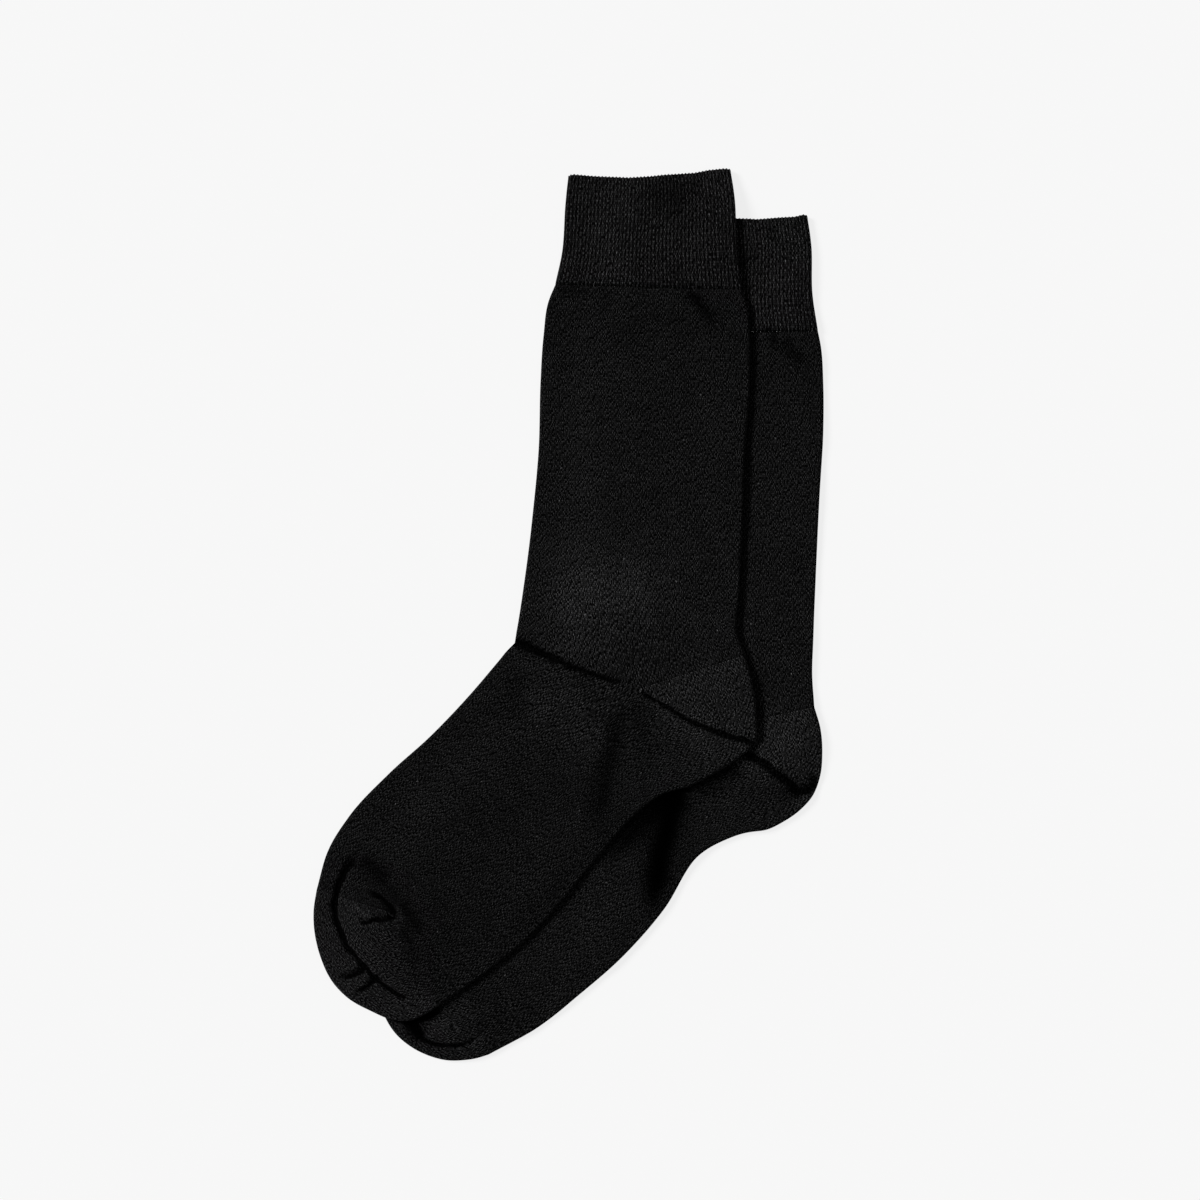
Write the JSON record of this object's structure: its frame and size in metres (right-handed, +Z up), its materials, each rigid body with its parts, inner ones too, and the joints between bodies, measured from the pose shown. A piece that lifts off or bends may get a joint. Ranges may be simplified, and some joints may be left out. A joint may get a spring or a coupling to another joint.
{
  "type": "pair of socks",
  "caption": "Pair of plain black mid-calf dress socks with ribbed cuffs, laid flat, one lying partly on the other.",
  "frame": {"origin": "on the surface that the pair lies on, below the middle of the pair's box", "axes": "+Y from the toes towards the cuffs, along the pair's length; +X towards the heels' side; +Z up, away from the surface"},
  "size_m": [0.255, 0.4464, 0.0092],
  "materials": {
    "rib_knit": "matt black cotton in one-by-one rib, turned double",
    "plain_knit": "matt black cotton in fine plain knit",
    "heel_toe_knit": "matt black reinforced yarn in plain knit, a shade lighter"
  },
  "bodies": {
    "root": {"upper_cuff": "rib_knit", "upper_leg": "plain_knit", "upper_heel": "heel_toe_knit", "upper_foot": "plain_knit", "upper_toe": "heel_toe_knit", "lower_cuff": "rib_knit", "lower_leg": "plain_knit", "lower_heel": "heel_toe_knit", "lower_foot": "plain_knit", "lower_toe": "heel_toe_knit"}
  },
  "joints": []
}
